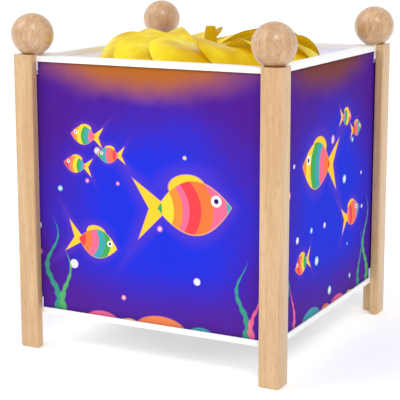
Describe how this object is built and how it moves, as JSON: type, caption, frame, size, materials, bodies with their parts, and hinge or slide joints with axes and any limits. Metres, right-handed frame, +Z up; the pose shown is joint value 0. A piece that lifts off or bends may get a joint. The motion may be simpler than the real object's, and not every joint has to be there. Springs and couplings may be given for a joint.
{
  "type": "rotating motion lamp",
  "caption": "Square bedside lantern on beech posts with ball finials; warm air from the bulb turns a vaned turbine and its inner film drum on a needle point.",
  "frame": {"origin": "centre of the footprint on the surface that the posts stand on", "axes": "+Z up along the drum's axis, -Y towards the front panel"},
  "size_m": [0.173, 0.173, 0.1938],
  "materials": {
    "beech": "clear satin lacquer",
    "steel": "zinc plated",
    "white_plastic": "moulded, semi-gloss",
    "printed_film": "printed film, satin",
    "drum_film": "printed translucent film",
    "yellow_plastic": "moulded, semi-gloss",
    "brass": "turned",
    "ceramic": "glazed ceramic",
    "clear_glass": "clear",
    "tungsten": "dark drawn wire",
    "clear_plastic": "natural nylon",
    "brown_sleeve": "silicone sleeve",
    "blue_sleeve": "silicone sleeve",
    "black_rubber": "moulded"
  },
  "bodies": {
    "root": {"post_front_left": "beech", "post_front_right": "beech", "post_back_right": "beech", "post_back_left": "beech", "ball_front_left": "beech", "ball_front_right": "beech", "ball_back_right": "beech", "ball_back_left": "beech", "ball_screws": "steel", "post_screws": "steel", "top_frame": "white_plastic", "base_tray": "white_plastic", "panel_front": "printed_film", "panel_right": "printed_film", "panel_back": "printed_film", "panel_left": "printed_film", "lampholder": "ceramic", "lampholder_bracket": "steel", "bracket_screws": "steel", "bracket_nuts": "steel", "holder_screws": "steel", "bulb_glass": "clear_glass", "bulb_filament": "tungsten", "bulb_pins": "steel", "terminal_block": "clear_plastic", "terminal_poles": "brass", "terminal_screws": "steel", "lead_brown": "brown_sleeve", "lead_blue": "blue_sleeve", "cable_grommet": "black_rubber"},
    "stand": {"wire_stand": "steel", "pivot_needle": "steel"},
    "rotor": {"turbine": "yellow_plastic", "turbine_hub": "yellow_plastic", "drum_film": "drum_film", "drum_hoop": "yellow_plastic", "bearing_cap": "brass"}
  },
  "joints": [
    {"name": "stand_lift", "type": "slide", "parent": "root", "child": "stand", "axis": [0, 0, 1], "range_m": [0, 0.15]},
    {"name": "rotor_spin", "type": "hinge", "parent": "stand", "child": "rotor", "pos_m": [0, 0, 0.17], "axis": [0, 0, 1], "continuous": true}
  ]
}
